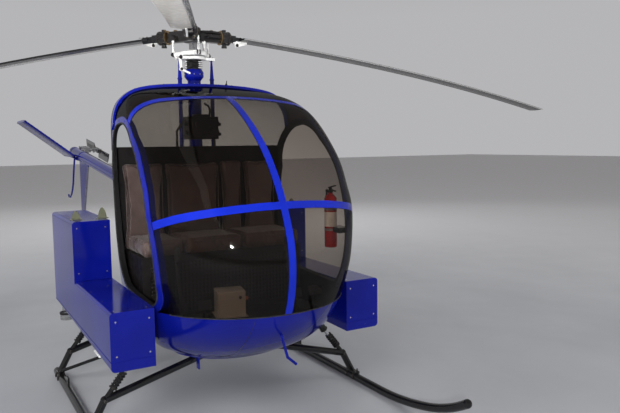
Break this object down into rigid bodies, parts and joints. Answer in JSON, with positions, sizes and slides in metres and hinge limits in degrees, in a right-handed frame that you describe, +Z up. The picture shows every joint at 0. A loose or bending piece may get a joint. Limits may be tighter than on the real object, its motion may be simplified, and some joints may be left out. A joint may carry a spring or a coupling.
{
  "type": "light electric helicopter",
  "caption": "Light two-to-three-seat electric helicopter with a bubble cabin, side battery boxes, tube tail boom and skid gear.",
  "frame": {"origin": "on the ground, directly under the main rotor mast", "axes": "+X to the nose, +Y to port (the pilot's left), +Z up"},
  "size_m": [9.0929, 6.7874, 2.618],
  "materials": {
    "body_paint": "deep glossy blue paint",
    "strip_paint": "glossy brighter blue paint",
    "tinted_glass": "grey-brown tinted clear plastic",
    "clear_glass": "clear plastic",
    "floor": "dark grey, worn",
    "dark_trim": "black, perforated in places",
    "leather": "brown, soft sheen, stitched",
    "beige_box": "beige-grey paint",
    "black_metal": "black gloss",
    "black_plastic": "black satin",
    "red_bottle": "red gloss",
    "steel": "satin",
    "motor": "cast, satin",
    "lamp": "grey dome",
    "black_fitting": "black satin, oily",
    "white_metal": "white paint, chipped",
    "blade": "dark grey, satin"
  },
  "bodies": {
    "airframe": {"nose_belly": "body_paint", "cabin_floor": "floor", "windshield_right": "tinted_glass", "windshield_left": "tinted_glass", "windshield_frame": "strip_paint", "skylight": "tinted_glass", "roof_bow": "body_paint", "roof_panel": "body_paint", "rear_window": "clear_glass", "door_frame_right": "body_paint", "door_frame_left": "body_paint", "bulkhead": "dark_trim", "seat_base": "dark_trim", "seat_cushions": "leather", "seat_backs": "leather", "console": "beige_box", "cyclic_sticks": "black_metal", "pedals": "black_metal", "overhead_box": "black_plastic", "extinguisher": "red_bottle", "extinguisher_bracket": "black_metal", "front_beam": "black_metal", "mast_tube": "body_paint", "mast_boot": "black_plastic", "control_rods": "body_paint", "swashplate_fixed": "white_metal", "centre_frame": "black_metal", "transmission": "steel", "electric_motor": "motor", "belt_drive": "black_plastic", "battery_box_right": "body_paint", "battery_box_left": "body_paint", "tail_boom": "body_paint", "boom_struts": "body_paint", "tail_gearbox": "steel", "stabiliser": "body_paint", "fin": "body_paint", "tail_guard": "body_paint", "gear_struts": "black_metal", "dampers": "black_metal", "drag_braces": "black_metal", "skid_right": "black_metal", "skid_left": "black_metal", "pitot_tube": "body_paint", "belly_antenna": "body_paint", "landing_light": "lamp"},
    "main_rotor": {"rotor_shaft": "steel", "main_hub": "black_fitting", "lag_dampers": "black_fitting", "swashplate_turning": "white_metal", "main_blade_port": "blade", "main_blade_rear": "blade", "main_blade_front": "blade"},
    "tail_rotor": {"tail_hub": "steel", "tail_blades": "blade"}
  },
  "joints": [
    {"name": "main_rotor_spin", "type": "hinge", "parent": "airframe", "child": "main_rotor", "pos_m": [0, 0, 2.566], "axis": [0, 0, 1], "continuous": true},
    {"name": "tail_rotor_spin", "type": "hinge", "parent": "airframe", "child": "tail_rotor", "pos_m": [-4.66, 0.29, 1.7], "axis": [0, -1, 0], "continuous": true}
  ],
  "couplings": [
    {"joint": "tail_rotor_spin", "follows": "main_rotor_spin", "ratio": 6.58}
  ]
}
